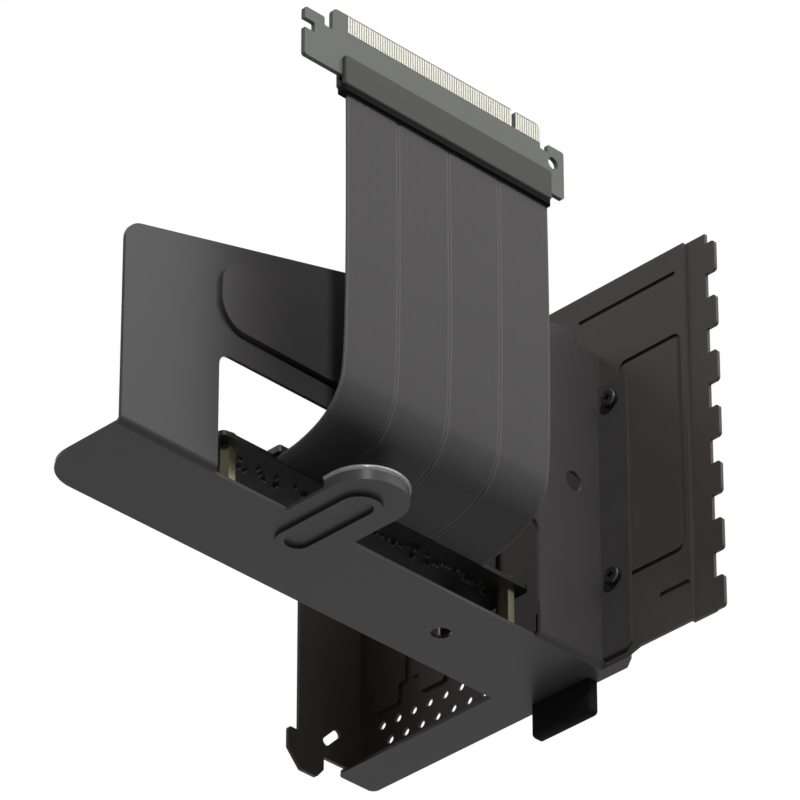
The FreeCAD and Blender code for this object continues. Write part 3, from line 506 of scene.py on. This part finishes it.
COVERS = [f"slot_cover_{number}" for number in range(1, 5)]
NODE_MATERIALS = {
    "main_bracket": bracket_coat,
    "rear_plate": plate_coat,
    "rest_pad": rubber,
    **{cover: plate_coat for cover in COVERS},
    "slot_cover_screws": black_steel,
    "tab_screws": black_steel,
    "board_posts": post_brass,
    "board_screws": black_steel,
    "slot_board": board_mask,
    "card_socket": socket_plastic,
    "socket_contacts": gold,
    "ribbon_clamp": socket_plastic,
    "plug_board": plug_mask,
    "plug_fingers": gold,
    "plug_seal": rubber,
    "plug_shell_front": shell_plastic,
    "plug_shell_back": shell_plastic,
}


def dress(piece, material):
    """Gives a piece its one material."""
    piece.data.materials.clear()
    piece.data.materials.append(material)


for node_name, node_material in NODE_MATERIALS.items():
    dress(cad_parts[node_name], node_material)
for ribbon in ribbons:
    dress(ribbon, jacket)
# The rolled hem gets the light grey paint that stands in for the lip's highlight.
dress(lip_hem, hem_painted_highlight)
dress(solder_pins, solder)
dress(chip_ends, solder)
dress(chip_bodies, chip_body)
dress(socket_latch, socket_plastic)


SHEET_SOFT = 0.3
SMALL_SOFT = 0.15


def soften_edges(name, width):
    """Breaks the sharp edges of a CAD node, as tumbling does to cut sheet."""
    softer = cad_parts[name].modifiers.new("soft edges", "BEVEL")
    softer.width = width * MM
    softer.segments = 2
    softer.limit_method = "ANGLE"
    softer.angle_limit = math.radians(50.0)


for sheet_node in ("main_bracket", "rear_plate", *COVERS):
    soften_edges(sheet_node, SHEET_SOFT)
for small_node in ("card_socket", "slot_board", "plug_board", "tab_screws", "slot_cover_screws",
                   "board_screws"):
    soften_edges(small_node, SMALL_SOFT)


# floor and light

FLOOR_HEIGHT = -1.4
FLOOR_REACH = 6.0
FLOOR_WHITE = 0.88
WORLD_SOFT = 0.02
LAMP_TARGET = Vector((-0.09, 0.02, 0.05))


def seen_rays(tree):
    """1 for the rays that show a surface to the camera, directly, mirrored or through."""
    path = add_node(tree, "ShaderNodeLightPath")
    seen = add_node(tree, "ShaderNodeMath", {"operation": "MAXIMUM"})
    clear = add_node(tree, "ShaderNodeMath", {"operation": "MAXIMUM"})
    tree.links.new(path.outputs["Is Camera Ray"], seen.inputs[0])
    tree.links.new(path.outputs["Is Glossy Ray"], seen.inputs[1])
    tree.links.new(seen.outputs[0], clear.inputs[0])
    tree.links.new(path.outputs["Is Transmission Ray"], clear.inputs[1])
    return clear.outputs[0]


def floor_paint():
    """Nearly white to the camera and in reflections, grey to the light that it throws back up."""
    material, shader = new_material("floor paint", (0.3, 0.3, 0.3), 0.9)
    tree = material.node_tree
    white = add_node(tree, "ShaderNodeMath", {"operation": "MULTIPLY"}, {1: FLOOR_WHITE})
    tree.links.new(seen_rays(tree), white.inputs[0])
    tree.links.new(white.outputs[0], shader.inputs["Emission Strength"])
    shader.inputs["Emission Color"].default_value = (1, 1, 1, 1)
    return material


def make_floor():
    """A wide floor well under the part, on which its shadow falls faintly."""
    work = bmesh.new()
    bmesh.ops.create_grid(work, x_segments=1, y_segments=1, size=FLOOR_REACH)
    bmesh.ops.translate(work, verts=work.verts, vec=(0, 0, FLOOR_HEIGHT))
    mesh = bpy.data.meshes.new("floor")
    work.to_mesh(mesh)
    work.free()
    floor = bpy.data.objects.new("floor", mesh)
    bpy.context.collection.objects.link(floor)
    mesh.materials.append(floor_paint())


def make_world():
    """White to the camera and in reflections, and nearly dark to every other ray."""
    world = bpy.data.worlds.new("studio")
    world.use_nodes = True
    tree = world.node_tree
    tree.nodes.clear()
    white = add_node(tree, "ShaderNodeBackground", {}, {"Color": (1, 1, 1, 1), "Strength": 1.0})
    soft = add_node(tree, "ShaderNodeBackground", {}, {"Color": (1, 1, 1, 1), "Strength": WORLD_SOFT})
    mix = add_node(tree, "ShaderNodeMixShader")
    output = add_node(tree, "ShaderNodeOutputWorld")
    tree.links.new(seen_rays(tree), mix.inputs["Fac"])
    tree.links.new(soft.outputs[0], mix.inputs[1])
    tree.links.new(white.outputs[0], mix.inputs[2])
    tree.links.new(mix.outputs[0], output.inputs["Surface"])
    bpy.context.scene.world = world


def add_lamp(name, place, size, power):
    """A square lamp, turned towards the part's middle and hidden from the camera."""
    data = bpy.data.lights.new(name, "AREA")
    data.shape = "SQUARE"
    data.size = size
    data.energy = power
    lamp = bpy.data.objects.new(name, data)
    lamp.visible_camera = False
    lamp.location = place
    aim = LAMP_TARGET - Vector(place)
    lamp.rotation_mode = "QUATERNION"
    lamp.rotation_quaternion = aim.to_track_quat("-Z", "Y")
    bpy.context.collection.objects.link(lamp)


make_floor()
make_world()
add_lamp("front", (0.22, -0.68, 0.84), 1.0, 7.4)
add_lamp("left", (-1.08, -1.28, 1.02), 0.14, 17.0)
add_lamp("low", (0.25, -0.32, -1.15), 0.6, 1.5)
add_lamp("back", (1.3, 0.9, 0.8), 1.2, 19.0)
add_lamp("card side", (0.70, 1.45, 0.7), 0.9, 14.0)
bpy.context.scene.view_settings.view_transform = "Standard"
